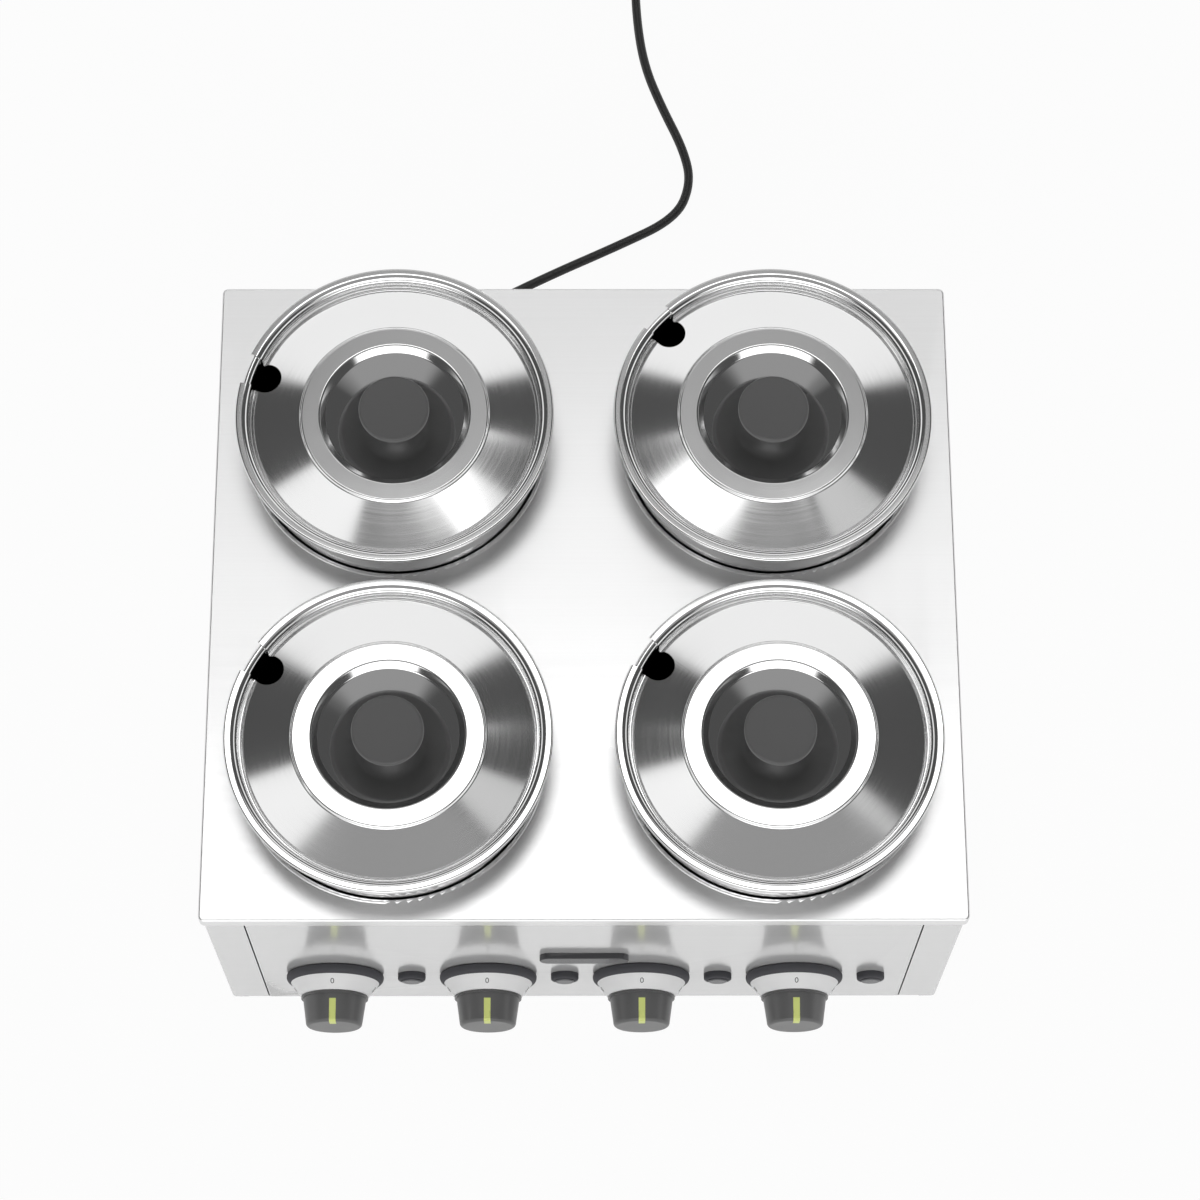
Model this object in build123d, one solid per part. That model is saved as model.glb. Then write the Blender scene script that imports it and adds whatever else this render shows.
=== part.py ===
"""Electric bain marie: four lidded round pots hang in heated wells under one flat steel top."""

from build123d import *
from math import hypot, pi, radians, tan
import os

# Case: the top plate covers a box of bent sheet that stands on four feet
plate_side_margin = 16.0
plate_end_margin = 6.0
plate_sheet = 1.5
plate_lip = 10.5
plate_corner = 4.0
case_height = 212.0
case_inset = 2.0
case_sheet = 1.0
case_corner = 3.0
flange_width = 26.0
bottom_flange = 12.0
panel_gap = 0.5
panel_return = 6.0
base_gap = 0.5
foot_height = 22.0
foot_radius = 18.0
foot_taper = 2.0
foot_inset_x = 43.0
foot_inset_y = 39.0
foot_recess_radius = 8.0
foot_recess_depth = 8.0

# Pots and wells: two columns by two rows, spaced by the gaps between their lids
lid_gap_x = 40.0
lid_gap_y = 12.0
pots_offset_y = 2.0
pot_radius = 100.0
pot_height = 155.0
pot_corner = 8.0
pot_rim_width = 5.0
pot_rim_hem = 3.8
pot_hem_corner = 2.0
pressed_sheet = 0.8
seat_gap = 0.3
hole_clearance = 1.0
bead_width = 2.4
bead_height = 1.0
well_clearance = 2.5
well_flange = 3.5
well_sheet = 1.0
well_corner = 6.0
well_ledge = 16.0
well_sump = 5.6
stud_radius = 3.0

# Lids: the rim stands above the plate, and a dish in the middle holds the knob
rim_above_plate = 40.0
lid_overhang = 7.0
lid_hem = 2.6
lid_hem_corner = 1.6
lid_roll = 5.0
groove_depth = 11.0
groove_width = 1.8
groove_corner = 0.9
cone_start_drop = 8.8
cone_start_inset = 3.1
cone_end_radius = 64.0
cone_end_drop = 3.6
ring_radius = 62.5
ring_drop = 2.4
dish_radius = 50.5
dish_edge_drop = 1.6
dish_wall_run = 4.5
dish_wall_drop = 9.0
dish_drop = 19.0
dish_flat_radius = 16.0
dish_floor_bend = 26.0
notch_radius = 10.5
notch_inset = 6.1
notch_neck = 8.5
notch_mouth = 13.6
notch_angles = {"front_left": 150.0, "front_right": 148.0, "rear_left": 162.0, "rear_right": 138.0}
lid_knob_radius = 23.6
lid_knob_stem = 11.5
lid_knob_waist = 10.5
lid_knob_above_rim = 7.4
lid_knob_dimple = 0.8
lid_knob_edge = 1.6
lid_knob_thickness = 4.5
lid_screw_radius = 2.5
lid_screw_length = 12.0
lid_screw_head = 5.0
lid_screw_head_height = 3.0
screw_clearance = 0.1

# Controls: knobs and lamps take turns along the front panel, evenly spaced
knob_count = 4
knob_side_margin = 51.0
lamp_side_margin = 25.0
thermostat_drop = 8.0
bezel_radius = 33.3
bezel_thickness = 6.5
bezel_edge = 3.2
dial_seat_radius = 26.0
dial_outer_radius = 30.1
dial_inner_radius = 23.2
dial_bore_radius = 16.0
dial_thickness = 9.4
knob_gap = 0.3
knob_skirt_radius = 22.9
knob_skirt = 1.4
knob_base_radius = 21.6
knob_front_radius = 18.9
knob_reach = 37.0
knob_edge = 2.6
pointer_width = 4.5
pointer_depth = 9.0
pointer_start = 4.0
spindle_radius = 3.0
spindle_running_gap = 0.06
spindle_in_body = 10.0
spindle_in_knob = 17.5
bush_radius = 5.0
bush_length = 6.0
bush_nut_flats = 14.0
bush_nut_height = 3.0
thermostat_width = 44.0
thermostat_depth = 28.0
thermostat_height = 36.0
lamp_radius = 9.5
lamp_thickness = 4.6
lamp_edge = 1.6
lamp_barrel_radius = 6.0
lamp_barrel_length = 18.0
lens_radius = 6.5
lens_depth = 1.6
lens_dome = 1.2
badge_rise = 51.0
badge_width = 60.0
badge_height = 14.0
badge_thickness = 4.0

# Heating: a plate under each well, and a sensing bulb under each plate
heater_radius = 72.0
heater_thickness = 8.0
heater_nut_flats = 10.0
heater_nut_height = 5.0
bulb_radius = 3.0
bulb_length = 60.0
bulb_offset_x = 24.0
capillary_radius = 1.0
capillary_run = 12.0
capillary_rise = 12.0
capillary_bend = 6.0
capillary_spread = 6.0

# Supply: terminal block, gland and cord
terminal_size = (52.0, 22.0, 20.0)
terminal_inset = 74.0
terminal_hole_radius = 2.2
gland_inset = 98.0
gland_z = 46.0
gland_thread_radius = 8.0
gland_thread_length = 10.0
gland_flats = 22.0
gland_hex = 5.0
gland_length = 24.0
gland_dome_radius = 9.5
gland_mouth_radius = 6.0
gland_nut_height = 4.0
cord_diameter = 7.0
cord_exit_run = 32.0
coil_radius = 42.6
coil_half_turns = 6
coil_climb_turn = 2
coil_pitch = 7.6
tail_run = 26.0
plug_neck_radius = 5.5
plug_neck = 16.0
plug_radius = 18.5
plug_shoulder = 12.0
plug_body = 20.0
plug_pin_radius = 2.4
plug_pin_length = 19.0
plug_pin_spread = 19.0

# Small screws
base_screw_radius = 2.0
base_screw_head = 3.8
base_screw_head_height = 2.4
base_screw_length = 6.0
base_screw_pitch = 130.0
foot_screw_radius = 2.5
foot_screw_head = 4.8
foot_screw_head_height = 3.5
foot_nut_flats = 8.0
foot_nut_height = 4.0

# Levels and planes worked out from those sizes
plate_top = foot_height + case_height
plate_under = plate_top - plate_sheet
lid_top = plate_top + rim_above_plate
pot_top = lid_top - pressed_sheet - seat_gap
pot_bottom = pot_top - pot_height
pot_inner_radius = pot_radius - pressed_sheet
lid_wall_radius = pot_inner_radius - seat_gap - pressed_sheet
lid_radius = pot_radius + lid_overhang
notch_reach = lid_wall_radius - notch_inset
pot_pitch_x = 2 * lid_radius + lid_gap_x
pot_pitch_y = 2 * lid_radius + lid_gap_y
plate_width = pot_pitch_x + 2 * (lid_radius + plate_side_margin)
plate_depth = pot_pitch_y + 2 * (lid_radius + plate_end_margin)
well_radius = pot_radius + well_clearance
well_step_level = pot_bottom - seat_gap
well_floor = well_step_level - well_sump
heater_top = well_floor - well_sheet
heater_bottom = heater_top - heater_thickness
half_case_x = plate_width / 2 - case_inset
half_case_y = plate_depth / 2 - case_inset
base_top = foot_height + case_sheet
control_z = well_floor - thermostat_drop - thermostat_height / 2
half_opening = half_case_x - flange_width
control_step = (2 * half_opening - knob_side_margin - lamp_side_margin) / (2 * knob_count - 1)
gland_x = gland_inset - half_case_x
terminal_y = half_case_y - terminal_inset
cord_radius = cord_diameter / 2
# The frame's origin is under the middle of the body's depth, which the knobs lengthen at the front
case_y = (knob_reach - case_inset) / 2

pot_places = {
    f"{row}_{side}": (sx * pot_pitch_x / 2, pots_offset_y + sy * pot_pitch_y / 2)
    for row, sy in (("front", -1), ("rear", 1))
    for side, sx in (("left", -1), ("right", 1))
}
knob_xs = [knob_side_margin - half_opening + 2 * i * control_step for i in range(knob_count)]
lamp_xs = [x + control_step for x in knob_xs]
knob_pots = ("front_left", "rear_left", "rear_right", "front_right")


def turned(outline, place=(0, 0), level=0.0):
    """Turn a closed outline of radius and height points about an upright axis."""
    face = make_face(Plane.XZ * Polyline(*outline, close=True))
    return Pos(place[0], place[1], level) * revolve(face, Axis.Z)


def turned_sheet(line, radii, sheet, level):
    """Turn a bent sheet about the Z axis: the line is its upper face, from rim to middle."""
    points = [Vector(*point) for point in line]
    ways = [(after - before).normalized() for before, after in zip(points, points[1:])]
    lefts = [Vector(-way.Y, way.X) for way in ways]
    under = [points[0] + lefts[0] * sheet]
    under_radii = []
    for corner, before, after, radius in zip(points[1:], lefts, lefts[1:], radii):
        under.append(corner + (before + after) * (sheet / (1 + before.dot(after))))
        under_radii.append(radius - sheet if before.cross(after).Z > 0 else radius + sheet)
    under.append(points[-1] + lefts[-1] * sheet)
    upper_edge = FilletPolyline(*points, radius=radii)
    under_edge = FilletPolyline(*under, radius=under_radii)
    ends = [Line(points[0], under[0]), Line(points[-1], under[-1])]
    face = make_face([*upper_edge.edges(), *under_edge.edges(), *ends])
    return Pos(0, 0, level) * revolve(Plane.XZ * face, Axis.Z)


def hexagon(flats, height):
    """A six-sided prism standing on the XY plane."""
    return extrude(RegularPolygon(flats / 2, 6, major_radius=False), height)


def nut(flats, height, bore):
    """A nut standing on the XY plane."""
    return hexagon(flats, height) - bar(bore, 0, height)


def at_front(x, z, shape):
    """Stand a shape built along +Z out of the front panel's outer face."""
    return Location((x, -half_case_y, z), (90, 0, 0)) * shape


def at_rear(x, z, shape):
    """Stand a shape built along +Z out of the rear panel's outer face."""
    return Location((x, half_case_y, z), (-90, 0, 0)) * shape


def bar(radius, low, high, x=0.0, y=0.0):
    """An upright round bar between two levels."""
    return Pos(x, y, low) * extrude(Circle(radius), high - low)


def block(x0, x1, y0, y1, z0, z1):
    """A box between two corners."""
    centre = ((x0 + x1) / 2, (y0 + y1) / 2, (z0 + z1) / 2)
    return Pos(*centre) * Box(x1 - x0, y1 - y0, z1 - z0)


def corners(half_x, half_y):
    """The four corners of a rectangle about the middle of the case."""
    return [(sx * half_x, sy * half_y) for sx in (-1, 1) for sy in (-1, 1)]


foot_places = corners(half_case_x - foot_inset_x, half_case_y - foot_inset_y)
flange_middle = bottom_flange / 2
side_screw_x = half_case_x - flange_middle
rear_screw_y = half_case_y - flange_middle
base_screw_places = [(s * side_screw_x, i * base_screw_pitch) for s in (-1, 1) for i in (-1, 0, 1)]
base_screw_places += [(s * half_case_x / 2, rear_screw_y) for s in (-1, 1)]


def make_top_plate():
    """The flat top with its folded lip, and a raised bead round each pot hole."""
    half_x = plate_width / 2
    half_y = plate_depth / 2
    shell = block(-half_x, half_x, -half_y, half_y, plate_top - plate_lip, plate_top)
    shell = fillet(shell.edges().filter_by(Axis.Z), plate_corner)
    shell = fillet(shell.faces().sort_by(Axis.Z)[-1].edges(), plate_sheet)
    inner_x = half_x - plate_sheet
    inner_y = half_y - plate_sheet
    inner = block(-inner_x, inner_x, -inner_y, inner_y, plate_top - plate_lip, plate_under)
    shell -= fillet(inner.edges().filter_by(Axis.Z), plate_corner - plate_sheet)
    hole_radius = pot_radius + hole_clearance
    bead_outer = hole_radius + bead_width
    rise = [
        Line((hole_radius, -plate_sheet), (hole_radius, bead_height / 2)),
        ThreePointArc(
            (hole_radius, bead_height / 2),
            (hole_radius + bead_width * 0.4, bead_height),
            (bead_outer, 0),
        ),
        Line((bead_outer, 0), (bead_outer, -plate_sheet)),
        Line((bead_outer, -plate_sheet), (hole_radius, -plate_sheet)),
    ]
    bead = revolve(Plane.XZ * make_face(rise), Axis.Z)
    for x, y in pot_places.values():
        shell -= bar(bead_outer, plate_under, plate_top, x, y)
        shell += Pos(x, y, plate_top) * bead
    return shell


def make_case_shell():
    """Sides and back from one wrapped sheet, with flanges turned in at the front and the bottom."""
    outer = block(-half_case_x, half_case_x, -half_case_y, half_case_y, base_top, plate_under)
    outer = fillet(outer.edges().filter_by(Axis.Z), case_corner)
    in_x = half_case_x - case_sheet
    in_y = half_case_y - case_sheet
    inner = block(-in_x, in_x, -in_y, in_y, base_top + case_sheet, plate_under)
    shell = outer - fillet(inner.edges().filter_by(Axis.Z), case_corner - case_sheet)
    floor_x = half_case_x - bottom_flange
    floor_y = half_case_y - bottom_flange
    shell -= block(-floor_x, floor_x, -half_case_y, floor_y, base_top, base_top + case_sheet)
    shell -= block(-half_opening, half_opening, -half_case_y, -in_y, base_top, plate_under)
    for x, y in base_screw_places:
        shell -= bar(base_screw_radius + screw_clearance, base_top, base_top + case_sheet, x, y)
    return shell - at_rear(gland_x, gland_z, bar(gland_thread_radius, -case_sheet, 0))


def make_front_panel():
    """The control panel: a tray of sheet between the shell's front flanges."""
    half = half_opening - panel_gap
    front = -half_case_y
    tray = block(-half, half, front, front + panel_return, base_top, plate_under)
    tray = fillet(tray.edges().filter_by(Axis.Z).group_by(Axis.Y)[0], case_sheet)
    sheet = case_sheet
    tray -= block(
        sheet - half, half - sheet, front + sheet, front + panel_return, base_top + sheet, plate_under - sheet
    )
    for x in knob_xs:
        tray -= at_front(x, control_z, bar(bush_radius + screw_clearance, -sheet, 0))
    for x in lamp_xs:
        tray -= at_front(x, control_z, bar(lamp_barrel_radius, -sheet, 0))
    return tray


def make_base_plate():
    """The flat sheet that closes the case from below."""
    half_x = half_case_x - base_gap
    half_y = half_case_y - base_gap
    plate = block(-half_x, half_x, -half_y, half_y, foot_height, base_top)
    plate = fillet(plate.edges().filter_by(Axis.Z), case_corner)
    for x, y in base_screw_places:
        plate -= bar(base_screw_radius + screw_clearance, foot_height, base_top, x, y)
    for x, y in foot_places:
        plate -= bar(foot_screw_radius + screw_clearance, foot_height, base_top, x, y)
    return plate


def make_base_screw():
    """One pan-head screw that holds the base plate to the shell's bottom flange."""
    head = bar(base_screw_head, -base_screw_head_height, 0)
    head = fillet(head.faces().sort_by(Axis.Z)[0].edges(), base_screw_head_height / 3)
    return head + bar(base_screw_radius, 0, base_screw_length)


def make_foot():
    """A rubber foot, slightly wider at the top, recessed below for its screw."""
    outline = [
        (foot_screw_radius + screw_clearance, foot_height),
        (foot_radius, foot_height),
        (foot_radius - foot_taper, 0),
        (foot_recess_radius, 0),
        (foot_recess_radius, foot_recess_depth),
        (foot_screw_radius + screw_clearance, foot_recess_depth),
    ]
    return turned(outline)


def make_foot_screw():
    """The screw that comes up through a foot and the base plate."""
    tip = base_top + foot_nut_height
    head = bar(foot_screw_head, foot_recess_depth - foot_screw_head_height, foot_recess_depth)
    return head + bar(foot_screw_radius, foot_recess_depth, tip)


def make_well():
    """A heated well: its flange hangs under the plate, and a ledge carries the pot over a sump."""
    step_radius = well_radius - well_ledge
    step_slope = well_sump / 2
    floor_drop = plate_under - well_floor
    step_drop = plate_under - well_step_level
    line = [
        (well_radius + well_flange, 0),
        (well_radius, 0),
        (well_radius, -step_drop),
        (step_radius, -step_drop),
        (step_radius - step_slope, -floor_drop),
        (0, -floor_drop),
    ]
    bend = 2 * well_sheet
    radii = [bend, well_corner, bend, bend]
    well = turned_sheet(line, radii, well_sheet, plate_under)
    stud_foot = heater_bottom - heater_nut_height - stud_radius
    return well + bar(stud_radius, stud_foot, heater_top)


def make_heater():
    """The heating plate clamped under a well's floor."""
    return bar(heater_radius, heater_bottom, heater_top) - bar(
        stud_radius + screw_clearance, heater_bottom, heater_top
    )


def make_pot():
    """A straight-sided pot with a flared, hemmed rim."""
    line = [
        (pot_radius + pot_rim_width, -pot_rim_hem),
        (pot_radius + pot_rim_width, 0),
        (pot_inner_radius, 0),
        (pot_inner_radius, pressed_sheet - pot_height),
        (0, pressed_sheet - pot_height),
    ]
    radii = [pot_hem_corner, lid_roll - pressed_sheet - seat_gap, pot_corner]
    return turned_sheet(line, radii, pressed_sheet, pot_top)


def make_notch():
    """The space of the ladle notch, along +X: a round hole that opens out through the rim."""
    beyond = lid_radius + notch_radius
    mouth = [
        (notch_reach, -notch_neck),
        (beyond, -notch_mouth),
        (beyond, notch_mouth),
        (notch_reach, notch_neck),
    ]
    plan = make_face(Polyline(*mouth, close=True)) + Pos(notch_reach, 0) * Circle(notch_radius)
    return Pos(0, 0, lid_top - 2 * groove_depth) * extrude(plan, 3 * groove_depth)


def make_lid_shell(notch_angle):
    """A pressed lid: hemmed rim, groove inside the pot's mouth, cone, ring and dish."""
    groove_inner = lid_wall_radius - groove_width
    line = [
        (lid_radius, -lid_hem),
        (lid_radius, 0),
        (lid_wall_radius, 0),
        (lid_wall_radius, -groove_depth),
        (groove_inner, -groove_depth),
        (lid_wall_radius - cone_start_inset, -cone_start_drop),
        (cone_end_radius, -cone_end_drop),
        (ring_radius, -ring_drop),
        (dish_radius, -dish_edge_drop),
        (dish_radius - dish_wall_run, -dish_wall_drop),
        (dish_flat_radius, -dish_drop),
        (0, -dish_drop),
    ]
    soft = 2 * pressed_sheet
    radii = [
        *(lid_hem_corner, lid_roll, groove_corner, groove_corner),
        *(soft, soft, soft, 1.5 * soft, 3 * soft, dish_floor_bend),
    ]
    lid = turned_sheet(line, radii, pressed_sheet, lid_top)
    lid -= Rot(0, 0, notch_angle) * make_notch()
    return lid - bar(lid_screw_radius + screw_clearance, lid_top - dish_drop - soft, lid_top)


def make_lid_knob():
    """The black knob that stands in the lid's dish: flat dimpled top on a waisted stem."""
    top = lid_knob_above_rim
    crown = top - lid_knob_thickness
    line = [
        (0, -dish_drop),
        (lid_knob_stem, -dish_drop),
        (lid_knob_waist, -dish_drop / 2),
        (lid_knob_radius, crown),
        (lid_knob_radius, top),
        (0, top - lid_knob_dimple),
    ]
    side = FilletPolyline(*line, radius=[0, dish_drop / 2, lid_knob_edge, lid_knob_edge])
    face = make_face([side, Line((0, top - lid_knob_dimple), (0, -dish_drop))])
    knob = Pos(0, 0, lid_top) * revolve(Plane.XZ * face, Axis.Z)
    seat = lid_top - dish_drop
    return knob - bar(lid_screw_radius + screw_clearance, seat, seat + lid_screw_length)


def make_lid_screw():
    """The screw that holds the knob from under the dish."""
    seat = lid_top - dish_drop - pressed_sheet
    head = bar(lid_screw_head, seat - lid_screw_head_height, seat)
    return head + bar(lid_screw_radius, seat, seat + lid_screw_length)


def make_bezel_ring():
    """The dark ring on the panel round a dial."""
    ring = bar(bezel_radius, 0, bezel_thickness)
    ring = fillet(ring.faces().sort_by(Axis.Z)[-1].edges(), bezel_edge)
    return ring - bar(dial_seat_radius, 0, bezel_thickness)


def make_dial_ring():
    """The pale cone that carries the scale: its spigot sits inside the bezel ring."""
    front = bezel_thickness + dial_thickness
    outline = [
        (dial_bore_radius, 0),
        (dial_seat_radius, 0),
        (dial_seat_radius, bezel_thickness),
        (dial_outer_radius, bezel_thickness),
        (dial_inner_radius, front),
        (dial_bore_radius, front),
    ]
    return turned(outline)


def make_knob_body():
    """The turning knob before its pointer slot is cut, standing on the panel along +Z."""
    rear = bezel_thickness + dial_thickness + knob_gap
    neck = rear + knob_skirt
    outline = [
        (0, rear),
        (knob_skirt_radius, rear),
        (knob_skirt_radius, neck),
        (knob_base_radius, neck),
        (knob_front_radius, knob_reach),
        (0, knob_reach),
    ]
    knob = turned(outline)
    knob = fillet(knob.faces().sort_by(Axis.Z)[-1].edges(), knob_edge)
    return knob - bar(spindle_radius, rear, rear + spindle_in_knob)


def make_pointer_slot():
    """The space of the coloured pointer, along the knob's top and over its front edge."""
    neck = bezel_thickness + dial_thickness + knob_gap + knob_skirt
    half = pointer_width / 2
    low = knob_front_radius - pointer_depth
    return block(-half, half, low, knob_skirt_radius, neck + pointer_start, knob_reach)


def make_spindle():
    """The turning shaft between the thermostat and the knob."""
    rear = bezel_thickness + dial_thickness + knob_gap
    return bar(spindle_radius, -case_sheet - spindle_in_body, rear + spindle_in_knob)


def make_thermostat():
    """The thermostat's body behind the panel, with the bush that its nut clamps."""
    back = -case_sheet - thermostat_depth
    half_w = thermostat_width / 2
    half_h = thermostat_height / 2
    body = block(-half_w, half_w, -half_h, half_h, back, -case_sheet)
    body = fillet(body.edges().filter_by(Axis.Z), 2 * case_sheet)
    body += bar(bush_radius, -case_sheet, bush_length)
    return body - bar(spindle_radius + spindle_running_gap, -case_sheet - spindle_in_body, bush_length)


def make_lamp_bezel():
    """A lamp's holder: flange in front of the panel, barrel behind it."""
    flange = bar(lamp_radius, 0, lamp_thickness)
    flange = fillet(flange.faces().sort_by(Axis.Z)[-1].edges(), lamp_edge)
    holder = flange + bar(lamp_barrel_radius, -lamp_barrel_length, 0)
    return holder - bar(lens_radius, lamp_thickness - lens_depth, lamp_thickness)


def make_lamp_lens():
    """The lens let into the lamp's flange, with a shallow dome."""
    lens = bar(lens_radius, lamp_thickness - lens_depth, lamp_thickness + lens_dome)
    return fillet(lens.faces().sort_by(Axis.Z)[-1].edges(), lens_dome * 0.9)


def make_badge():
    """The bare badge on the panel, a flat bar with round ends."""
    pill = extrude(SlotOverall(badge_width, badge_height), badge_thickness)
    return fillet(pill.faces().sort_by(Axis.Z)[-1].edges(), badge_thickness / 6)


def make_capillary(knob_x, pot_name):
    """One sensing bulb under a heating plate, and its fine tube back to the thermostat."""
    x, y = pot_places[pot_name]
    start_y = case_sheet + thermostat_depth - half_case_y
    drop_y = start_y + capillary_run
    level = base_top + capillary_rise
    if pot_name.startswith("front"):
        level += capillary_spread
    bulb_x = x - bulb_offset_x if x > 0 else x + bulb_offset_x
    bulb_y = y - bulb_length / 2
    bulb_z = heater_bottom - bulb_radius
    rise_y = bulb_y - 2 * capillary_bend
    line = [
        (knob_x, start_y, control_z),
        (knob_x, drop_y, control_z),
        (knob_x, drop_y, level),
        (bulb_x, drop_y, level),
        (bulb_x, rise_y, level),
        (bulb_x, rise_y, bulb_z),
        (bulb_x, bulb_y, bulb_z),
    ]
    path = FilletPolyline(*line, radius=[capillary_bend] * (len(line) - 2))
    tube = sweep(Plane(path @ 0, z_dir=path % 0) * Circle(capillary_radius), path=path)
    bulb = Location((bulb_x, bulb_y, bulb_z), (-90, 0, 0)) * bar(bulb_radius, 0, bulb_length)
    return tube + bulb


def make_terminal_block():
    """The block that joins the supply cord to the inside wiring."""
    length, width, height = terminal_size
    x0 = gland_x - length / 2
    body = block(x0, x0 + length, terminal_y, terminal_y + width, base_top, base_top + height)
    for i in range(3):
        x = x0 + length * (2 * i + 1) / 6
        body -= bar(terminal_hole_radius, base_top + height / 2, base_top + height, x, terminal_y + width / 2)
    return body


def make_gland():
    """The strain relief on the rear panel."""
    thread = bar(gland_thread_radius, -gland_thread_length, 0)
    outline = [
        (0, gland_hex),
        (gland_dome_radius, gland_hex),
        (gland_dome_radius, gland_length * 2 / 3),
        (gland_mouth_radius, gland_length),
        (0, gland_length),
    ]
    return thread + hexagon(gland_flats, gland_hex) + turned(outline)


# The cord's route from the gland's mouth to the coil: right and back of the mouth, and above the floor
gland_mouth = Vector(gland_x, half_case_y + gland_length)
cord_route = [
    gland_mouth + Vector(*point)
    for point in (
        (0, 0, gland_z),
        (0, cord_exit_run, gland_z),
        (9, 58, 27),
        (37, 70, 8),
        (70, 70.5, cord_radius),
        (124, 99.5, cord_radius),
        (174, 123.5, cord_radius),
        (222, 148.5, cord_radius),
        (234, 179, cord_radius),
        (228.5, 208, cord_radius),
        (212, 245, cord_radius),
        (199, 280, cord_radius),
        (193, 318, cord_radius),
        (191, 366, cord_radius),
        (191, 420, cord_radius),
    )
]


def bend_radii(points):
    """The radius of each bend: its arc takes 0.45 of the shorter run beside it."""
    radii = []
    for before, here, after in zip(points, points[1:], points[2:]):
        turn = radians((here - before).get_angle(after - here))
        shorter = min((here - before).length, (after - here).length)
        radii.append(0.45 * shorter / tan(turn / 2))
    return radii


def cord_tube(path):
    """A round tube of the cord's size along a path."""
    return sweep(Plane(path @ 0, z_dir=path % 0) * Circle(cord_radius), path=path)


def coil_path(start):
    """A flat coil in two layers: half turns that step in, climb once and step out again."""
    edges = []
    here = start
    radius = coil_radius
    for turn in range(coil_half_turns):
        way = 1 if turn % 2 == 0 else -1
        rise = coil_pitch if turn == coil_climb_turn else 0.0
        end = here + Vector(-2 * way * radius, 0, rise)
        top = (here + end) / 2 + Vector(0, way * radius, 0)
        edges.append(ThreePointArc(here, top, end))
        here = end
        radius += coil_pitch / 2 if turn >= coil_climb_turn else -coil_pitch / 2
    lift = plug_radius - here.Z
    tail = [
        here,
        here + Vector(0, tail_run, 0),
        here + Vector(0, 2 * tail_run, lift),
        here + Vector(0, 3 * tail_run, lift),
    ]
    bends = FilletPolyline(*tail, radius=bend_radii(tail))
    return Wire([*edges, *bends.edges()]), tail[-1]


def least_gap(path):
    """The smallest space between two turns of a tube, measured on points along its path."""
    steps = int(path.length / 2)
    points = [path.position_at(i / steps) for i in range(steps + 1)]
    apart = int(pi * cord_diameter)
    gap = min(
        hypot(a.X - b.X, a.Y - b.Y, a.Z - b.Z)
        for i, a in enumerate(points)
        for b in points[i + apart:]
    )
    return gap - cord_diameter


def make_plug():
    """A two-pin plug along +Z: neck, shoulder and body, then its pins."""
    shoulder = plug_neck + plug_shoulder
    face = shoulder + plug_body
    outline = [
        (0, 0),
        (plug_neck_radius, 0),
        (plug_neck_radius, plug_neck),
        (plug_radius, shoulder),
        (plug_radius, face),
        (0, face),
    ]
    plug = turned(outline)
    for side in (-1, 1):
        plug += bar(plug_pin_radius, face, face + plug_pin_length, side * plug_pin_spread / 2)
    return plug


def group(shapes):
    """Several separate solids that share one node."""
    return Compound([solid for shape in shapes for solid in shape.solids()])


parts = {
    "top_plate": make_top_plate(),
    "case_shell": make_case_shell(),
    "front_panel": make_front_panel(),
    "base_plate": make_base_plate(),
    "base_screws": group([Pos(x, y, foot_height) * make_base_screw() for x, y in base_screw_places]),
    "feet": group([Pos(x, y) * make_foot() for x, y in foot_places]),
    "foot_screws": group([Pos(x, y) * make_foot_screw() for x, y in foot_places]),
    "foot_nuts": group(
        [
            Pos(x, y, base_top) * nut(foot_nut_flats, foot_nut_height, foot_screw_radius)
            for x, y in foot_places
        ]
    ),
    "heaters": group([Pos(x, y) * make_heater() for x, y in pot_places.values()]),
    "heater_nuts": group(
        [
            Pos(x, y, heater_bottom - heater_nut_height)
            * nut(heater_nut_flats, heater_nut_height, stud_radius)
            for x, y in pot_places.values()
        ]
    ),
    "capillaries": group([make_capillary(x, pot_name) for x, pot_name in zip(knob_xs, knob_pots)]),
    "thermostats": group([at_front(x, control_z, make_thermostat()) for x in knob_xs]),
    "thermostat_nuts": group(
        [at_front(x, control_z, nut(bush_nut_flats, bush_nut_height, bush_radius)) for x in knob_xs]
    ),
    "bezel_rings": group([at_front(x, control_z, make_bezel_ring()) for x in knob_xs]),
    "dial_rings": group([at_front(x, control_z, make_dial_ring()) for x in knob_xs]),
    "lamp_bezels": group([at_front(x, control_z, make_lamp_bezel()) for x in lamp_xs]),
    "lamp_lenses": group([at_front(x, control_z, make_lamp_lens()) for x in lamp_xs]),
    "badge": at_front(0, control_z + badge_rise, make_badge()),
    "terminal_block": make_terminal_block(),
    "cable_gland": at_rear(gland_x, gland_z, make_gland()),
    "gland_nut": at_rear(
        gland_x,
        gland_z,
        Pos(0, 0, -case_sheet - gland_nut_height) * nut(gland_flats, gland_nut_height, gland_thread_radius),
    ),
}

for name, (x, y) in pot_places.items():
    place = Pos(x, y)
    parts[f"well_{name}"] = place * make_well()
    parts[f"pot_{name}"] = place * make_pot()
    parts[f"lid_{name}"] = place * make_lid_shell(notch_angles[name])
    parts[f"lid_knob_{name}"] = place * make_lid_knob()
    parts[f"lid_screw_{name}"] = place * make_lid_screw()

for number, x in enumerate(knob_xs, start=1):
    body = make_knob_body()
    slot = make_pointer_slot()
    parts[f"control_knob_{number}"] = at_front(x, control_z, body - slot)
    parts[f"knob_pointer_{number}"] = at_front(x, control_z, body & slot)
    parts[f"knob_spindle_{number}"] = at_front(x, control_z, make_spindle())

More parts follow.
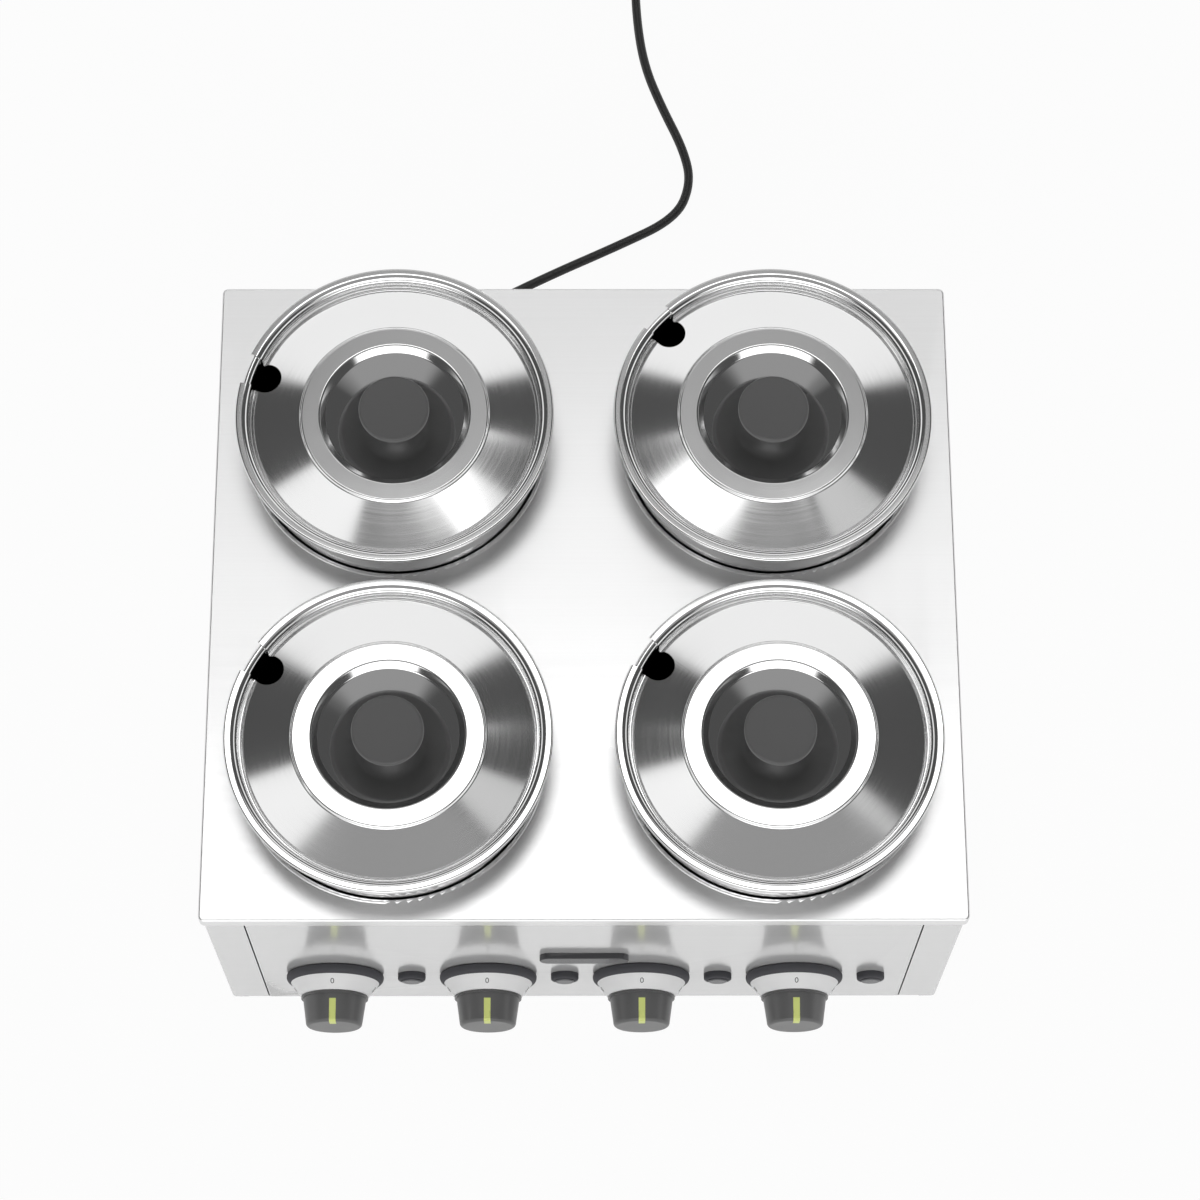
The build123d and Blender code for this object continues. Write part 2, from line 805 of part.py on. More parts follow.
cord_bends = bend_radii(cord_route)
cord_path = FilletPolyline(*cord_route, radius=cord_bends)
parts["power_cord"] = cord_tube(cord_path)
winding, plug_entry = coil_path(cord_route[-1])
parts["cord_coil"] = cord_tube(winding)
parts["plug"] = Location(plug_entry, (-90, 0, 0)) * make_plug()

print("bend radii", [round(radius) for radius in cord_bends])
print("cord volume over section times length", round(
    parts["power_cord"].volume / (pi * cord_radius**2 * cord_path.length), 4
))
print("coil volume over section times length", round(
    parts["cord_coil"].volume / (pi * cord_radius**2 * winding.length), 4
))
print("least gap in the coil", round(least_gap(winding), 2))
print("cord length", round(cord_path.length + winding.length))

os.makedirs("parts", exist_ok=True)
for name, shape in parts.items():
    export_step(Pos(0, case_y) * shape, f"parts/{name}.step")
print(len(parts), "parts")
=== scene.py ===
"""Four-pot bain marie in brushed and polished steel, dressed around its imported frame."""
import logging
import math
from dataclasses import dataclass
from enum import Enum
from typing import Any, Sequence

import bmesh
import bpy
from mathutils import Matrix, Vector


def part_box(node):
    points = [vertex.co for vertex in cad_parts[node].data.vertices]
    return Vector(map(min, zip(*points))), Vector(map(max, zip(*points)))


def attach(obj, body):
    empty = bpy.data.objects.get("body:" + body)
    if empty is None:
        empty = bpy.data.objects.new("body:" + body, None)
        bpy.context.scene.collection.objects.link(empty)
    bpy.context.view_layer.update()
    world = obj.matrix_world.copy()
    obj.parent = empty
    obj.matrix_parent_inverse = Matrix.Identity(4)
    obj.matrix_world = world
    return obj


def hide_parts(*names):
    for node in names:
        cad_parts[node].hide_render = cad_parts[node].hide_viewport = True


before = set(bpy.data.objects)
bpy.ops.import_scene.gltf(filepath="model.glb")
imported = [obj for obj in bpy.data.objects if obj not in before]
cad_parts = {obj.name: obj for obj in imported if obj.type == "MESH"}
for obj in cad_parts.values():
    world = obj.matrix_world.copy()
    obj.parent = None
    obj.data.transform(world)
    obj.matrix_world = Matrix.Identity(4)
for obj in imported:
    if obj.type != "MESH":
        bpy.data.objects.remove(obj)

MM = 0.001
TINY = 1e-7
WELD = 1e-6
SHARP = math.radians(35.0)
POTS = ("front_left", "front_right", "rear_left", "rear_right")
KNOBS = (1, 2, 3, 4)
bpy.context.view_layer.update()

logging.basicConfig(level=logging.INFO, format="%(message)s")
log = logging.getLogger("bain_marie")

Point = tuple[float, float]


class Axis(Enum):
    """The way that a turned piece points."""

    UP = "up"
    FRONT = "front"


class Value:
    """A node socket that adds Math nodes when it is used in an expression."""

    def __init__(self, graph: "Graph", socket: bpy.types.NodeSocket) -> None:
        """Wrap a socket.

        Args:
            graph: the material or world graph that the socket is in.
            socket: the output socket.
        """
        self.graph = graph
        self.socket = socket

    def _math(self, operation: str, *values: Any) -> "Value":
        """Add one Math node.

        Args:
            operation: the node's operation.
            *values: numbers or Values, in the node's order.

        Returns:
            The node's result.
        """
        return self.graph.node("ShaderNodeMath", {"operation": operation}, dict(enumerate(values)))

    def __add__(self, other: Any) -> "Value":
        """Add."""
        return self._math("ADD", self, other)

    def __radd__(self, other: Any) -> "Value":
        """Add, reflected."""
        return self._math("ADD", other, self)

    def __sub__(self, other: Any) -> "Value":
        """Subtract."""
        return self._math("SUBTRACT", self, other)

    def __rsub__(self, other: Any) -> "Value":
        """Subtract, reflected."""
        return self._math("SUBTRACT", other, self)

    def __mul__(self, other: Any) -> "Value":
        """Multiply."""
        return self._math("MULTIPLY", self, other)

    def __rmul__(self, other: Any) -> "Value":
        """Multiply, reflected."""
        return self._math("MULTIPLY", other, self)

    def __truediv__(self, other: Any) -> "Value":
        """Divide."""
        return self._math("DIVIDE", self, other)

    def __rtruediv__(self, other: Any) -> "Value":
        """Divide, reflected."""
        return self._math("DIVIDE", other, self)

    def __pow__(self, other: Any) -> "Value":
        """Raise to a power."""
        return self._math("POWER", self, other)

    def __rpow__(self, other: Any) -> "Value":
        """Raise to a power, reflected."""
        return self._math("POWER", other, self)

    def maximum(self, other: Any) -> "Value":
        """Take the larger of two values."""
        return self._math("MAXIMUM", self, other)

    def absolute(self) -> "Value":
        """Drop the sign."""
        return self._math("ABSOLUTE", self)

    def step(self, low: float, high: float) -> "Value":
        """Rise smoothly from 0 to 1.

        Args:
            low: where the rise starts.
            high: where the rise ends.

        Returns:
            The smoothed step.
        """
        settings = {"interpolation_type": "SMOOTHSTEP"}
        return self.graph.node("ShaderNodeMapRange", settings, {0: self, 1: low, 2: high, 3: 0.0, 4: 1.0})

    def within(self, low: float, high: float, soft: float) -> "Value":
        """Be 1 between two limits and 0 outside them.

        Args:
            low: the lower limit.
            high: the upper limit.
            soft: half the width of each edge.

        Returns:
            The soft-edged window.
        """
        return self.step(low - soft, low + soft) * (1 - self.step(high - soft, high + soft))

    def toward(self, share: Any, goal: float) -> "Value":
        """Move a value toward a goal.

        Args:
            share: how far, from 0 to 1.
            goal: the value at 1.

        Returns:
            The moved value.
        """
        return self + share * (goal - self)


class Graph:
    """A node tree that is built from expressions."""

    def __init__(self, tree: bpy.types.NodeTree) -> None:
        """Empty a tree and hold it.

        Args:
            tree: the material's or the world's tree.
        """
        self.tree = tree
        tree.nodes.clear()

    def node(
        self, kind: str, settings: dict[str, Any], inputs: dict[Any, Any], output: Any = 0
    ) -> Value | None:
        """Add any node.

        Args:
            kind: the node's type.
            settings: attributes to set first, such as a Math node's operation.
            inputs: values or links, by the socket's name or number.
            output: the name or number of the output to return.

        Returns:
            The chosen output, or nothing for an output node.
        """
        made = self.tree.nodes.new(kind)
        for name, setting in settings.items():
            setattr(made, name, setting)
        for key, value in inputs.items():
            if isinstance(value, Value):
                self.tree.links.new(value.socket, made.inputs[key])
            else:
                made.inputs[key].default_value = value
        return Value(self, made.outputs[output]) if made.outputs else None

    def place(self, scale: Sequence[float] = (1, 1, 1), centre: Sequence[float] = (0, 0, 0)) -> Value:
        """Object coordinates in metres, centred on a point and scaled.

        Args:
            scale: the scale along each axis.
            centre: the point that becomes the pattern's middle.

        Returns:
            The placed coordinates.
        """
        start = self.node("ShaderNodeTexCoord", {}, {}, "Object")
        shift = tuple(-c * s for c, s in zip(centre, scale))
        return self.node(
            "ShaderNodeMapping", {}, {"Vector": start, "Location": shift, "Scale": tuple(scale)}
        )

    def noise(self, at: Value, scale: float, detail: float = 2.0, rough: float = 0.5) -> Value:
        """Add noise from 0 to 1.

        Args:
            at: the coordinates.
            scale: the noise's scale.
            detail: how many finer layers it has.
            rough: how strong those layers are.

        Returns:
            The noise's factor.
        """
        inputs = {"Vector": at, "Scale": scale, "Detail": detail, "Roughness": rough}
        return self.node("ShaderNodeTexNoise", {}, inputs, 0)

    def parts(self, vector: Value) -> tuple[Value, Value, Value]:
        """Split a vector.

        Args:
            vector: the vector.

        Returns:
            Its three components.
        """
        made = self.node("ShaderNodeSeparateXYZ", {}, {0: vector})
        outputs = made.socket.node.outputs
        return Value(self, outputs[0]), Value(self, outputs[1]), Value(self, outputs[2])

    def blend(self, factor: Any, low: Any, high: Any) -> Value:
        """Mix two colours.

        Args:
            factor: how much of the second colour.
            low: the first colour.
            high: the second colour.

        Returns:
            The mixed colour.
        """
        settings = {"data_type": "RGBA"}
        return self.node("ShaderNodeMix", settings, {0: factor, 6: low, 7: high}, 2)

    def bump(self, height: Value, distance: float) -> Value:
        """Turn a height into a normal.

        Args:
            height: the height, about 0 to 1.
            distance: how many metres a height of 1 stands up.

        Returns:
            The bent normal.
        """
        inputs = {"Strength": 1.0, "Distance": distance, "Height": height}
        return self.node("ShaderNodeBump", {}, inputs)

    def surface(self, shader: Value) -> None:
        """Send a shader to the tree's output."""
        self.node("ShaderNodeOutputMaterial", {}, {"Surface": shader})


def grey(level: float) -> tuple[float, float, float, float]:
    """A neutral colour."""
    return (level, level, level, 1.0)


@dataclass(frozen=True)
class Finish:
    """What every finish has: a name, a slot name, and a colour."""

    name: str
    slot: str
    colour: tuple[float, float, float, float]

    def material(self) -> bpy.types.Material:
        """Make the finish's material once, and return the same one later."""
        made = bpy.data.materials.get(self.name)
        if made is None:
            made = bpy.data.materials.new(self.name)
            made.use_nodes = True
            made.diffuse_color = self.colour
            self.build(Graph(made.node_tree))
        return made

    def build(self, graph: Graph) -> None:
        """Fill the material's graph; each kind of finish has its own."""
        raise NotImplementedError


@dataclass(frozen=True)
class BrushedSteel(Finish):
    """Sheet steel with fine straight strokes."""

    stroke: tuple[float, float, float] = (6.0, 900.0, 900.0)
    roughness: float = 0.3
    metal: float = 1.0
    spread: float = 0.1
    depth: float = 2e-6
    patch_scale: float = 5.0
    base_tone: float = 0.95
    stroke_tone: float = 0.06
    patch_tone: float = 0.03

    def build(self, graph: Graph) -> None:
        """Stretched noise makes the strokes, and a slow noise makes them uneven."""
        fine = graph.noise(graph.place(self.stroke), 1.0, 3.0, 0.6)
        slow = graph.noise(graph.place(), self.patch_scale, 1.0)
        tone = self.base_tone + fine * self.stroke_tone + slow * self.patch_tone
        colour = graph.node(
            "ShaderNodeVectorMath", {"operation": "SCALE"}, {0: tuple(self.colour[:3]), "Scale": tone}
        )
        inputs = {
            "Base Color": colour,
            "Metallic": self.metal,
            "Roughness": self.roughness + (fine - 0.5) * self.spread + (slow - 0.5) * self.spread,
            "Normal": graph.bump(fine, self.depth),
        }
        graph.surface(graph.node("ShaderNodeBsdfPrincipled", {}, inputs))


@dataclass(frozen=True)
class SpunSteel(Finish):
    """Polished steel with faint rings about its middle."""

    centre: tuple[float, float, float] = (0.0, 0.0, 0.0)
    roughness: float = 0.1
    depth: float = 3e-7
    ring_scale: float = 900.0
    ring_spread: float = 0.05
    patch_scale: float = 30.0
    patch_spread: float = 0.04

    def build(self, graph: Graph) -> None:
        """Noise on the distance from the middle makes the rings."""
        at = graph.place((1, 1, 1), self.centre)
        x, y, z = graph.parts(at)
        reach = (x * x + y * y) ** 0.5
        ring_at = graph.node(
            "ShaderNodeCombineXYZ", {}, {0: reach * self.ring_scale, 1: z * self.ring_scale, 2: 0.0}
        )
        rings = graph.noise(ring_at, 1.0, 2.0, 0.6)
        slow = graph.noise(at, self.patch_scale, 2.0)
        uneven = (rings - 0.5) * self.ring_spread + (slow - 0.5) * self.patch_spread
        inputs = {
            "Base Color": self.colour,
            "Metallic": 1.0,
            "Roughness": self.roughness + uneven,
            "Normal": graph.bump(rings, self.depth),
        }
        graph.surface(graph.node("ShaderNodeBsdfPrincipled", {}, inputs))


@dataclass(frozen=True)
class Moulded(Finish):
    """Moulded plastic or rubber with a fine grain."""

    roughness: float = 0.4
    grain: float = 4e-6
    grain_scale: float = 2500.0
    metal: float = 0.0
    patch_scale: float = 60.0
    patch_tone: float = 0.9
    patch_spread: float = 0.12

    def build(self, graph: Graph) -> None:
        """A fine noise grains the surface, and a slow one varies its gloss."""
        grain = graph.noise(graph.place(), self.grain_scale, 2.0)
        slow = graph.noise(graph.place(), self.patch_scale, 2.0)
        dark = tuple(c * self.patch_tone for c in self.colour[:3]) + (1.0,)
        inputs = {
            "Base Color": graph.blend(slow, dark, self.colour),
            "Metallic": self.metal,
            "Roughness": self.roughness + (slow - 0.5) * self.patch_spread,
            "Normal": graph.bump(grain, self.grain),
        }
        graph.surface(graph.node("ShaderNodeBsdfPrincipled", {}, inputs))


PLATE = BrushedSteel("plate_brushed", "plate_steel", grey(0.97), (5.0, 700.0, 700.0), 0.32)
CASE = BrushedSteel("case_brushed", "case_steel", grey(0.82), (5.0, 700.0, 700.0), 0.15, 0.5, 0.06)
WELL = BrushedSteel("well_satin", "well_steel", grey(0.7), (60.0, 60.0, 60.0), 0.35)
SCREW = Moulded("screw_zinc", "screw_steel", grey(0.72), 0.3, 1e-6, 900.0, 1.0)
HEATER = Moulded("heater_cast", "heater_aluminium", grey(0.6), 0.5, 2e-5, 700.0, 1.0)
COPPER = Moulded("copper_tube", "copper", (0.72, 0.43, 0.3, 1.0), 0.3, 1e-6, 900.0, 1.0)
INNER = Moulded("inner_plastic", "inner_plastic", (0.75, 0.73, 0.68, 1.0), 0.5)
DARK = Moulded("dark_plastic", "dark_plastic", grey(0.07), 0.2)
KNOB = Moulded("knob_plastic", "black_plastic", grey(0.14), 0.32)
LID_KNOB = Moulded("lid_knob_plastic", "black_plastic", grey(0.12), 0.4, 6e-6, 2200.0)
WHITE = Moulded("dial_white", "white_plastic", grey(0.95), 0.35, 1e-6)
LIME = Moulded("pointer_lime", "lime_plastic", (0.82, 0.9, 0.28, 1.0), 0.4, 1e-6)
LENS = Moulded("lamp_lens", "lamp_lens", (0.55, 0.38, 0.35, 1.0), 0.15, 1e-6)
BADGE = Moulded("badge_dark", "badge_dark", grey(0.03), 0.2, 1e-6)
RUBBER = Moulded("foot_rubber", "black_rubber", grey(0.03), 0.7, 1e-5, 1200.0)
CORD = Moulded("cord_jacket", "cord_black", grey(0.03), 0.42, 3e-6, 1800.0)
STRAP = Moulded("cord_strap", "black_rubber", grey(0.05), 0.85, 6e-5, 1500.0)
PRINT = Moulded("dial_print", "dark_plastic", grey(0.08), 0.5, 1e-6)


def rounded(corners: Sequence[Point], radii: Sequence[float], step: float = 6.0) -> list[Point]:
    """Round the corners of an open line with arcs.

    Args:
        corners: the line's points.
        radii: a radius for each corner between the ends; 0 keeps it sharp.
        step: the largest turn of an arc's straight piece, in degrees.

    Returns:
        The rounded line's points.
    """
    straight = 1e-4
    line = [corners[0]]
    for before, here, after, radius in zip(corners, corners[1:], corners[2:], radii):
        origin = Vector(here)
        back = (Vector(before) - origin).normalized()
        on = (Vector(after) - origin).normalized()
        turn = math.pi - back.angle(on)
        if radius == 0 or turn < straight:
            line.append(here)
            continue
        reach = radius * math.tan(turn / 2)
        middle = origin + (back + on).normalized() * math.hypot(reach, radius)
        start = origin + back * reach - middle
        side = 1.0 if back.cross(on) < 0 else -1.0
        count = max(2, math.ceil(math.degrees(turn) / step))
        for i in range(count + 1):
            angle = side * turn * i / count
            c, s = math.cos(angle), math.sin(angle)
            line.append((middle.x + start.x * c - start.y * s, middle.y + start.x * s + start.y * c))
    line.append(corners[-1])
    return line


def sheet_wall(corners: Sequence[Point], radii: Sequence[float], sheet: float) -> list[Point]:
    """Outline a bent sheet from its upper face.

    Args:
        corners: the upper face's corners, from rim to middle.
        radii: a radius for each corner between the ends.
        sheet: the sheet's thickness.

    Returns:
        The closed outline's points, the upper face first.
    """
    ways = [(Vector(b) - Vector(a)).normalized() for a, b in zip(corners, corners[1:])]
    lefts = [Vector((-way.y, way.x)) for way in ways]
    under = [Vector(corners[0]) + lefts[0] * sheet]
    under_radii = []
    for corner, before, after, radius in zip(corners[1:], lefts, lefts[1:], radii):
        under.append(Vector(corner) + (before + after) * (sheet / (1 + before.dot(after))))
        under_radii.append(radius - sheet if before.cross(after) > 0 else radius + sheet)
    under.append(Vector(corners[-1]) + lefts[-1] * sheet)
    lower = rounded([tuple(p) for p in under], under_radii)
    return rounded(corners, radii) + lower[::-1]


def finish_mesh(name: str, build: bmesh.types.BMesh) -> bpy.types.Object:
    """Turn a bmesh into a linked object with smooth faces and sharp corners.

    Args:
        name: the object's name.
        build: the mesh, which is freed.

    Returns:
        The object.
    """
    mesh = bpy.data.meshes.new(name)
    build.to_mesh(mesh)
    build.free()
    mesh.shade_smooth()
    mesh.set_sharp_from_angle(angle=SHARP)
    made = bpy.data.objects.new(name, mesh)
    bpy.context.scene.collection.objects.link(made)
    return made


def lathe(
    name: str,
    outline: Sequence[Point],
    centre: Sequence[float],
    axis: Axis = Axis.UP,
    sides: int = 160,
) -> bpy.types.Object:
    """Turn a closed outline of radius and height about an axis.

    Args:
        name: the object's name.
        outline: points of radius and height, in metres; the last joins the first.
        centre: where the height is 0, in the frame.
        axis: the way that the height grows.
        sides: how many steps a turn has.

    Returns:
        The turned object.
    """
    turns = {
        Axis.UP: Matrix.Identity(3),
        Axis.FRONT: Matrix.Rotation(math.radians(90), 3, "X"),
    }
    place = Matrix.Translation(Vector(centre)) @ turns[axis].to_4x4()
    angles = [2 * math.pi * i / sides for i in range(sides)]
    build = bmesh.new()
    rings = []
    for radius, height in outline:
        if radius < TINY:
            rings.append([build.verts.new(place @ Vector((0, 0, height)))])
            continue
        ring = [(radius * math.cos(angle), radius * math.sin(angle), height) for angle in angles]
        rings.append([build.verts.new(place @ Vector(point)) for point in ring])
    for low, high in zip(rings, rings[1:] + rings[:1]):
        if len(low) == 1 and len(high) == 1:
            continue
        for i in range(sides):
            j = (i + 1) % sides
            corner = [low[i % len(low)], low[j % len(low)], high[j % len(high)], high[i % len(high)]]
            build.faces.new(list(dict.fromkeys(corner)))
    bmesh.ops.recalc_face_normals(build, faces=build.faces)
    return finish_mesh(name, build)


def smooth_copy(node: str, name: str) -> bpy.types.Object:
    """Copy a CAD node's mesh with its points merged and its curves smooth.

    Args:
        node: the CAD node.
        name: the new object's name.

    Returns:
        The copy.
    """
    build = bmesh.new()
    build.from_mesh(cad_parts[node].data)
    bmesh.ops.remove_doubles(build, verts=build.verts, dist=WELD)
    return finish_mesh(name, build)


def cut(piece: bpy.types.Object, tool: bpy.types.Object) -> None:
    """Cut one closed mesh out of another, and delete the tool.

    Args:
        piece: the object to cut.
        tool: the shape to take away.
    """
    modifier = piece.modifiers.new("cut", "BOOLEAN")
    modifier.operation = "DIFFERENCE"
    modifier.solver = "EXACT"
    modifier.object = tool
    flatten(piece)
    bpy.data.objects.remove(tool)


def flatten(piece: bpy.types.Object) -> None:
    """Make a piece's modifiers real and remove them.

    Args:
        piece: the object whose mesh is replaced.
    """
    bpy.context.view_layer.update()
    evaluated = piece.evaluated_get(bpy.context.evaluated_depsgraph_get())
    mesh = bpy.data.meshes.new_from_object(evaluated)
    old = piece.data
    piece.modifiers.clear()
    piece.data = mesh
    bpy.data.meshes.remove(old)


def soften(piece: bpy.types.Object) -> bpy.types.Object:
    """Shade a piece smooth, with sharp corners kept and flat faces flat.

    Args:
        piece: the piece.

    Returns:
        The same piece.
    """
    piece.data.shade_smooth()
    piece.data.set_sharp_from_angle(angle=SHARP)
    modifier = piece.modifiers.new("soften", "WEIGHTED_NORMAL")
    modifier.keep_sharp = True
    flatten(piece)
    return piece


@dataclass(frozen=True)
class Pattern:
    """A Geometry Nodes tree that repeats a piece along a row."""

    count: int
    step: tuple[float, float, float]

    def apply(self, piece: bpy.types.Object, finish: Finish) -> None:
        """Repeat a piece and make the result its plain mesh.

        Args:
            piece: the first piece, in its place.
            finish: the finish of all of them.
        """
        tree = self.tree()
        modifier = piece.modifiers.new("repeat", "NODES")
        modifier.node_group = tree
        values = {"Count": self.count, "Step": self.step, "Finish": finish.material()}
        for item in tree.interface.items_tree:
            if item.in_out == "INPUT" and item.name in values:
                modifier[item.identifier] = values[item.name]
        flatten(piece)

    @staticmethod
    def tree() -> bpy.types.NodeTree:
        """Build the tree once, and return the same one later."""
        tree = bpy.data.node_groups.get("repeated_piece")
        if tree is not None:
            return tree
        tree = bpy.data.node_groups.new("repeated_piece", "GeometryNodeTree")
        kinds = {
            "Geometry": "NodeSocketGeometry",
            "Count": "NodeSocketInt",
            "Step": "NodeSocketVector",
            "Finish": "NodeSocketMaterial",
        }
        for name, kind in kinds.items():
            tree.interface.new_socket(name, in_out="INPUT", socket_type=kind)
        tree.interface.new_socket("Geometry", in_out="OUTPUT", socket_type="NodeSocketGeometry")

        def add(kind: str, inputs: dict[str, Any], **settings: Any) -> bpy.types.Node:
            """Add a node, with its links or values by input name."""
            node = tree.nodes.new(kind)
            for name, setting in settings.items():
                setattr(node, name, setting)
            for name, value in inputs.items():
                socket = node.inputs[name]
                if isinstance(value, bpy.types.NodeSocket):
                    tree.links.new(value, socket)
                else:
                    socket.default_value = value
            return node

        start = add("NodeGroupInput", {}).outputs
        spacing = {"Count": start["Count"], "Offset": start["Step"]}
        row = add("GeometryNodeMeshLine", spacing, mode="OFFSET")
        copies = add(
            "GeometryNodeInstanceOnPoints", {"Points": row.outputs[0], "Instance": start["Geometry"]}
        )
        real = add("GeometryNodeRealizeInstances", {"Geometry": copies.outputs[0]})
        dressed = add(
            "GeometryNodeSetMaterial", {"Geometry": real.outputs[0], "Material": start["Finish"]}
        )
        add("NodeGroupOutput", {"Geometry": dressed.outputs[0]})
        return tree


def dress(
    piece: bpy.types.Object, finish: Finish, body: str, nodes: Sequence[str] = ()
) -> bpy.types.Object:
    """Give a piece its finish, its body and the CAD nodes that it stands for.

    Args:
        piece: the piece.
        finish: its finish.
        body: the body that it rides on.
        nodes: the CAD nodes that it replaces.

    Returns:
        The same piece.
    """
    piece.data.materials.clear()
    piece.data.materials.append(finish.material())
    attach(piece, body)
    if nodes:
        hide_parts(*nodes)
    log.info("%s: %d faces on %s", piece.name, len(piece.data.polygons), body)
    return piece


def dress_node(node: str, finish: Finish) -> None:
    """Give a CAD node that stays its finish.

    Args:
        node: the CAD node.
        finish: its finish.
    """
    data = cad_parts[node].data
    data.materials.clear()
    data.materials.append(finish.material())
    log.info("%s: kept, in %s", node, finish.name)


def middle_of(node: str) -> Vector:
    """The middle of a CAD node's box."""
    low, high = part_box(node)
    return (low + high) / 2


def mm(points: Sequence[Point]) -> list[Point]:
    """Turn an outline in millimetres into metres."""
    return [(x * MM, y * MM) for x, y in points]


@dataclass
class Lens:
    """The camera, placed by the photograph's view of the plate."""

    elevation: float = 69.62
    turn: float = 0.93
    roll: float = 0.83
    distance: float = 2.2576
    focal: float = 101.17
    aim_right: float = 0.0108
    aim_back: float = -0.0045
    plate_lip: float = 10.5
    sensor: float = 36.0

    def build(self) -> None:
        """Make the camera and set it as the scene's."""
        low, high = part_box("top_plate")
        aim = Vector((self.aim_right, (low.y + high.y) / 2 + self.aim_back, low.z + self.plate_lip * MM))
        tilt, turn = math.radians(self.elevation), math.radians(self.turn)
        level = math.cos(tilt)
        ahead = Vector((math.sin(turn) * level, math.cos(turn) * level, -math.sin(tilt)))
        right = Vector((math.cos(turn), -math.sin(turn), 0))
        up = right.cross(ahead)
        roll = math.radians(self.roll)
        c, s = math.cos(roll), math.sin(roll)
        right, up = right * c + up * s, up * c - right * s
        camera = bpy.data.objects.new("camera", bpy.data.cameras.new("camera"))
        camera.data.lens = self.focal
        camera.data.sensor_width = self.sensor
        camera.data.clip_end = 20.0
        turned = Matrix((right, up, -ahead)).transposed().to_4x4()
        camera.matrix_world = Matrix.Translation(aim - ahead * self.distance) @ turned
        bpy.context.scene.collection.objects.link(camera)
        bpy.context.scene.camera = camera


@dataclass(frozen=True)
class Panel:
    """A soft panel of the studio, laid out on the two slopes of a direction from straight up.

    Its brightness is level, low and high are its limits to the rear, inner and outer are those to the
    side, and soft is half the width of its edges.
    """

    level: float
    low: float
    high: float
    inner: float
    outer: float
    soft: float

    def middle(self, back: Value, side: Value) -> Value:
        """Where a panel shows that fades out to both sides.

        Args:
            back: the slope to the rear.
            side: the slope to either side.

        Returns:
            The panel's mask.
        """
        return back.within(self.low, self.high, self.soft) * (1 - side.step(self.inner, self.outer))

    def window(self, back: Value, across: Value) -> Value:
        """Where a panel shows that lies to one side.

        Args:
            back: the slope to the rear.
            across: the slope to the right.

        Returns:
            The panel's mask.
        """
        band = back.within(self.low, self.high, self.soft)
        return band * across.within(self.inner, self.outer, self.soft)

    def ahead(self, back: Value, side: Value) -> Value:
        """Where a panel shows that reaches from its limits all the way to the front.

        Args:
            back: the slope to the rear.
            side: the slope to either side.

        Returns:
            The panel's mask.
        """
        return (1 - back.step(self.low, self.high)) * (1 - side.step(self.inner, self.outer))


@dataclass
class Studio:
    """White floor and a studio of soft panels, whose darker gaps show in the polished steel."""

    floor_half: float = 3.0
    floor_glow: float = 0.95
    floor_shine: float = 0.6
    room: float = 0.08
    near: Panel = Panel(0.33, 0.02, 0.08, 0.5, 0.8, 0.03)
    behind: Panel = Panel(0.4, 0.3, 0.62, 0.06, 0.2, 0.03)
    rear: Panel = Panel(1.0, 0.63, 1.15, 0.45, 0.55, 0.03)
    front: Panel = Panel(2.2, -1.05, -0.9, 1.0, 1.3, 0.03)
    left: Panel = Panel(1.05, 0.02, 0.24, -0.5, -0.17, 0.015)
    right: Panel = Panel(0.65, 0.05, 0.2, 0.2, 0.37, 0.015)
    softbox: Panel = Panel(2.1, 0.075, 0.37, 0.11, 0.15, 0.015)
    softbox_slant: float = 0.45
    walls: float = 1.0
    walls_low: float = 0.25
    walls_high: float = 0.4
    lowest_rise: float = 0.05
    wave_scale: float = 6.0
    wave_size: float = 0.08

    def build(self) -> None:
        """Make the floor and the world."""
        self.build_floor()
        self.build_world()
        bpy.context.scene.view_settings.view_transform = "Standard"

    def build_floor(self) -> None:
        """A plain white floor that keeps a soft shadow."""
        build = bmesh.new()
        bmesh.ops.create_grid(build, x_segments=1, y_segments=1, size=self.floor_half)
        floor = finish_mesh("floor", build)
        material = bpy.data.materials.new("floor_white")
        material.use_nodes = True
        graph = Graph(material.node_tree)
        paint = graph.node("ShaderNodeBsdfDiffuse", {}, {"Color": grey(0.9)})
        glow = graph.node("ShaderNodeEmission", {}, {"Color": grey(1.0), "Strength": 1.0})
        rays = graph.node("ShaderNodeLightPath", {}, {}, "Is Camera Ray")
        shine = graph.node("ShaderNodeLightPath", {}, {}, "Is Glossy Ray")
        share = rays * self.floor_glow + shine * self.floor_shine
        graph.surface(graph.node("ShaderNodeMixShader", {}, {0: share, 1: paint, 2: glow}))
        floor.data.materials.append(material)

    def build_world(self) -> None:
        """Panels and gaps, laid out on the two slopes of a direction from straight up."""
        world = bpy.data.worlds.new("studio")
        bpy.context.scene.world = world
        world.use_nodes = True
        graph = Graph(world.node_tree)
        way = graph.node("ShaderNodeTexCoord", {}, {}, "Generated")
        x, y, z = graph.parts(way)
        rise = z.maximum(self.lowest_rise)
        wave = (graph.noise(way, self.wave_scale, 1.0) - 0.5) * self.wave_size
        across, back = x / rise + wave, y / rise + wave
        side = across.absolute()
        level = self.room + self.near.ahead(back, side) * (self.near.level - self.room)
        for panel in (self.behind, self.rear):
            level = level.toward(panel.middle(back, side), panel.level)
        level = level.toward(self.front.ahead(back, side), self.front.level)
        level = level.toward(1 - z.step(self.walls_low, self.walls_high), self.walls)
        for panel in (self.left, self.right):
            level = level.toward(panel.window(back, across), panel.level)
        spread = side - back * self.softbox_slant
        level = level.toward(self.softbox.middle(back, spread), self.softbox.level)
        camera = graph.node("ShaderNodeLightPath", {}, {}, "Is Camera Ray")
        level = level + camera * (1 - level)
        light = graph.node("ShaderNodeBackground", {}, {"Color": grey(1.0), "Strength": level})
        graph.node("ShaderNodeOutputWorld", {}, {"Surface": light})


